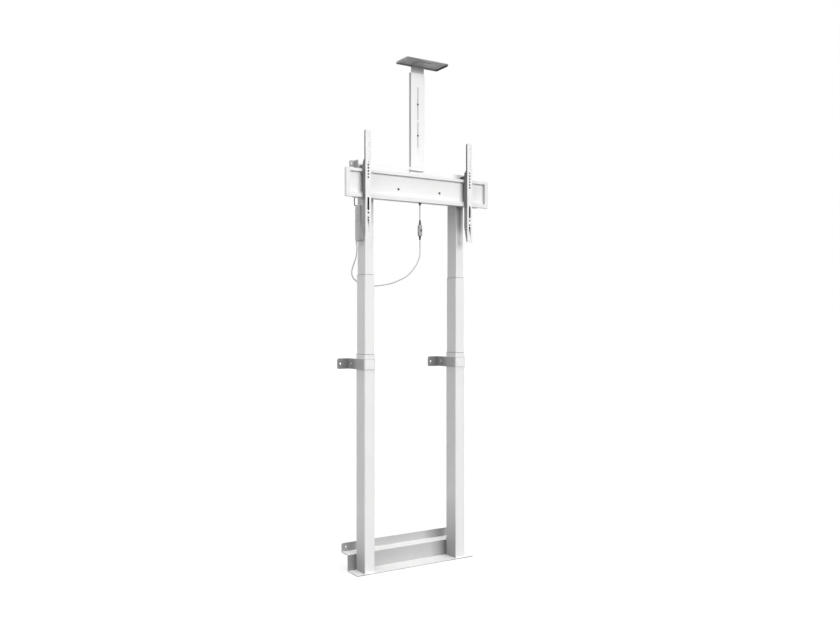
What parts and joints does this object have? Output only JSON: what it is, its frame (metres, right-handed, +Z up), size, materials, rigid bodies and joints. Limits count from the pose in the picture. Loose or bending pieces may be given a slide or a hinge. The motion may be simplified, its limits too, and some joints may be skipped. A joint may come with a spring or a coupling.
{
  "type": "motorized tv wall stand",
  "caption": "Motorised floor stand fixed to a wall: telescoping columns lift a head box and cross beam with hook-on screen arms, a camera shelf and a corded handset.",
  "frame": {"origin": "on the floor, midway between the two columns, on their centre line", "axes": "+X to the right as seen from the room, +Y towards the wall, +Z up; the lift is drawn raised"},
  "size_m": [0.725, 0.236, 2.187],
  "materials": {
    "white_steel": "fine satin powder coat on folded steel sheet and tube",
    "zinc_steel": "zinc-plated spindle parts",
    "screw_steel": "plated fasteners",
    "nut_brass": "machined spindle nuts",
    "cast_housing": "die-cast gear housing",
    "motor_black": "black motor can",
    "white_plastic": "moulded white plastic, fine texture",
    "dark_plastic": "moulded dark grey plastic",
    "key_plastic": "smooth light grey keys",
    "cord_jacket": "light grey soft cord jacket"
  },
  "bodies": {
    "stand": {"base_plate": "white_steel", "base_screws": "screw_steel", "outer_tube_left": "white_steel", "outer_tube_right": "white_steel", "outer_cap_left": "white_plastic", "outer_cap_right": "white_plastic", "column_foot_left": "zinc_steel", "column_foot_right": "zinc_steel", "support_tube_left": "zinc_steel", "support_tube_right": "zinc_steel", "lower_nut_left": "nut_brass", "lower_nut_right": "nut_brass", "wall_clamp_left": "white_steel", "wall_clamp_right": "white_steel", "clamp_spacers": "zinc_steel", "clamp_bolts": "screw_steel"},
    "carriage": {"inner_tube_left": "white_steel", "inner_tube_right": "white_steel", "inner_shoe_left": "dark_plastic", "inner_shoe_right": "dark_plastic", "gearbox_left": "cast_housing", "gearbox_right": "cast_housing", "motor_left": "motor_black", "motor_right": "motor_black", "head_box": "white_steel", "head_cover": "white_steel", "control_unit": "dark_plastic", "beam_tray": "white_steel", "beam_brackets": "white_steel", "beam_screws": "screw_steel", "cable_bracket": "white_steel", "camera_arm": "white_steel", "camera_foot": "white_steel", "handset_front": "white_plastic", "handset_back": "white_plastic", "handset_hanger": "white_plastic", "cord_module": "white_plastic", "cord_reliefs": "dark_plastic", "handset_cord": "cord_jacket"},
    "arm_left": {"tv_arm_left": "white_steel"},
    "arm_right": {"tv_arm_right": "white_steel"},
    "shelf": {"shelf_slider": "white_steel", "camera_shelf": "white_steel", "shelf_bolts": "screw_steel"},
    "key_up": {"key_up": "key_plastic"},
    "key_down": {"key_down": "key_plastic"},
    "stage_left": {"middle_tube_left": "white_steel", "middle_cap_left": "white_plastic", "middle_shoe_left": "dark_plastic", "stage_tube_left": "zinc_steel", "upper_nut_left": "nut_brass"},
    "hollow_screw_left": {"hollow_screw_left": "zinc_steel"},
    "drive_screw_left": {"drive_screw_left": "zinc_steel"},
    "stage_right": {"middle_tube_right": "white_steel", "middle_cap_right": "white_plastic", "middle_shoe_right": "dark_plastic", "stage_tube_right": "zinc_steel", "upper_nut_right": "nut_brass"},
    "hollow_screw_right": {"hollow_screw_right": "zinc_steel"},
    "drive_screw_right": {"drive_screw_right": "zinc_steel"}
  },
  "joints": [
    {"name": "lift", "type": "slide", "parent": "stand", "child": "carriage", "axis": [0, 0, 1], "range_m": [-0.65, 0], "deforming": ["handset_cord"]},
    {"name": "arm_left_slide", "type": "slide", "parent": "carriage", "child": "arm_left", "axis": [1, 0, 0], "range_m": [-0.057, 0.19]},
    {"name": "arm_right_slide", "type": "slide", "parent": "carriage", "child": "arm_right", "axis": [1, 0, 0], "range_m": [-0.16, 0.087]},
    {"name": "shelf_slide", "type": "slide", "parent": "carriage", "child": "shelf", "axis": [0, 0, 1], "range_m": [-0.025, 0.055]},
    {"name": "key_up_press", "type": "slide", "parent": "carriage", "child": "key_up", "axis": [1, 0, 0], "range_m": [0, 0.001], "stiffness_N_per_m": 800, "springref_m": -0.001},
    {"name": "key_down_press", "type": "slide", "parent": "carriage", "child": "key_down", "axis": [1, 0, 0], "range_m": [0, 0.001], "stiffness_N_per_m": 800, "springref_m": -0.001},
    {"name": "stage_left_slide", "type": "slide", "parent": "stand", "child": "stage_left", "axis": [0, 0, 1], "range_m": [-0.325, 0]},
    {"name": "hollow_left_turn", "type": "hinge", "parent": "stage_left", "child": "hollow_screw_left", "pos_m": [-0.2325, 0, 0.8], "axis": [0, 0, 1], "range_deg": [-9751, 0]},
    {"name": "drive_left_turn", "type": "hinge", "parent": "carriage", "child": "drive_screw_left", "pos_m": [-0.2325, 0, 1.6], "axis": [0, 0, 1], "range_deg": [-9751, 0]},
    {"name": "stage_right_slide", "type": "slide", "parent": "stand", "child": "stage_right", "axis": [0, 0, 1], "range_m": [-0.325, 0]},
    {"name": "hollow_right_turn", "type": "hinge", "parent": "stage_right", "child": "hollow_screw_right", "pos_m": [0.2325, 0, 0.8], "axis": [0, 0, 1], "range_deg": [-9751, 0]},
    {"name": "drive_right_turn", "type": "hinge", "parent": "carriage", "child": "drive_screw_right", "pos_m": [0.2325, 0, 1.6], "axis": [0, 0, 1], "range_deg": [-9751, 0]}
  ],
  "couplings": [
    {"joint": "stage_left_slide", "follows": "lift", "ratio": 0.5},
    {"joint": "hollow_left_turn", "follows": "lift", "rad_per_m": 261.8},
    {"joint": "drive_left_turn", "follows": "lift", "rad_per_m": 261.8},
    {"joint": "stage_right_slide", "follows": "lift", "ratio": 0.5},
    {"joint": "hollow_right_turn", "follows": "lift", "rad_per_m": 261.8},
    {"joint": "drive_right_turn", "follows": "lift", "rad_per_m": 261.8}
  ]
}
